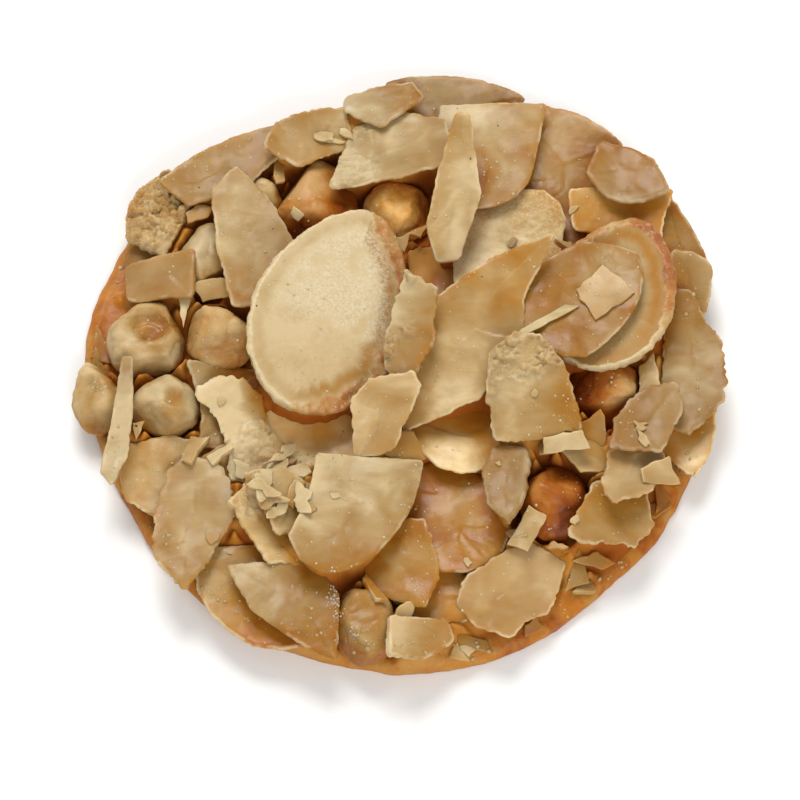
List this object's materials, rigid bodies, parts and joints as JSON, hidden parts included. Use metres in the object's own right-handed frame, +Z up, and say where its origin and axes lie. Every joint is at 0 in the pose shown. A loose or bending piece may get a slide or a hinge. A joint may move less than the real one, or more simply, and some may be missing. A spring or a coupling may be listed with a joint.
{
  "type": "florentine cookie",
  "caption": "Thin round florentine cookie: flaked almonds, almond halves and pieces of nut set in a thin caramel base.",
  "frame": {"origin": "middle of the underside, on the surface that the cookie lies on", "axes": "+Z up, out of the nut side; -Y towards the front, where the camera stands; +X to the right"},
  "size_m": [0.064, 0.0648, 0.0121],
  "materials": {
    "caramel": "set caramel, glossy and translucent",
    "almond_pale": "cut almond, pale cream, waxy",
    "almond_tan": "baked almond, light tan, thinly glazed",
    "almond_golden": "baked almond, golden, thinly glazed",
    "nut_toasted": "toasted nut with its skin, orange-brown, glazed"
  },
  "bodies": {
    "root": {"caramel_base": "caramel", "nut_hollow_half": "almond_golden", "nut_round_left": "almond_tan", "nut_rim_left": "almond_golden", "nut_long_left": "almond_tan", "nut_round_centre_left": "almond_tan", "nut_orange_back": "nut_toasted", "nut_golden_back": "almond_golden", "nut_sliver_back": "almond_pale", "nut_orange_right": "nut_toasted", "nut_orange_front": "nut_toasted", "nut_block_front": "almond_tan", "flake_rim_back_left": "almond_tan", "flake_rim_back": "almond_tan", "flake_wide_back_right": "almond_golden", "flake_rim_back_right": "almond_tan", "flake_rim_right": "almond_tan", "flake_rim_right_low": "almond_pale", "flake_front_right": "almond_tan", "flake_rim_front": "almond_pale", "flake_smooth_front_left": "almond_golden", "flake_left_low": "almond_tan", "flake_on_edge_left": "almond_pale", "flake_block_left": "almond_tan", "flake_long_back_left": "almond_tan", "flake_tan_left": "almond_tan", "flake_under_half": "almond_golden", "flake_shaded_centre": "almond_tan", "flake_inner_back_left": "almond_tan", "flake_beside_large_half": "almond_pale", "flake_low_back_right": "almond_tan", "flake_crumpled_right": "almond_pale", "flake_low_front": "almond_tan", "flake_long_front_left": "almond_tan", "flake_torn_front_left": "almond_pale", "flake_strips_front_left": "almond_pale", "flake_broad_front": "almond_golden", "flake_half_round": "almond_golden", "flake_thick_front": "almond_tan", "flake_grainy": "almond_pale", "flake_square_back": "almond_pale", "flake_torn_back": "almond_pale", "flake_rim_back_small": "almond_golden", "almond_half_right": "almond_golden", "flake_curled_back_right": "almond_golden", "flake_torn_pale": "almond_pale", "flake_torn_small": "almond_pale", "flake_golden_front": "almond_golden", "flake_wide_front": "almond_tan", "flake_torn_right_lower": "almond_pale", "flake_golden_right": "almond_golden", "flake_spindle": "almond_pale", "almond_half_large": "almond_pale", "flake_egg_front": "almond_pale", "flake_torn_right_upper": "almond_tan", "flake_large_golden": "almond_golden", "flake_crumbly_right": "almond_pale", "flake_crumbly_ridge": "almond_pale", "flake_centre_small": "almond_pale"}
  },
  "joints": []
}
